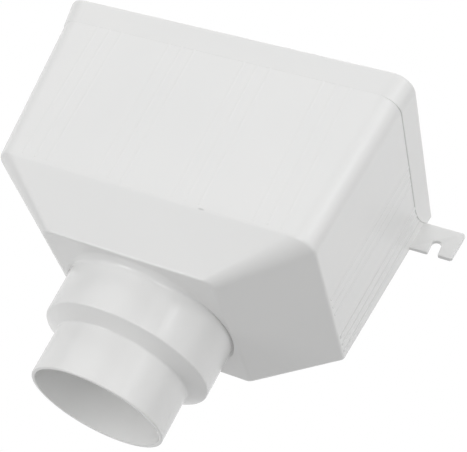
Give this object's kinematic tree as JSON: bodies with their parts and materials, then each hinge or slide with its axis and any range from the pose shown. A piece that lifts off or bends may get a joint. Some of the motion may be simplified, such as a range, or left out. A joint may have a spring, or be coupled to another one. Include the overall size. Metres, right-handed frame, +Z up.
{
  "type": "rainwater funnel",
  "caption": "White plastic rainwater funnel: an open box with a raised rim, sloping faces down to a stepped round outlet, and slotted ears that hook it on a wall.",
  "frame": {"origin": "on the round outlet's axis, at the lower end of the spigot", "axes": "+Z up along the outlet's axis to the open top, +X to the right seen from the front, +Y towards the wall behind"},
  "size_m": [0.267, 0.1305, 0.2035],
  "materials": {
    "white_plastic": "white rigid plastic as moulded, with a soft sheen"
  },
  "bodies": {
    "root": {"hopper": "white_plastic"}
  },
  "joints": []
}
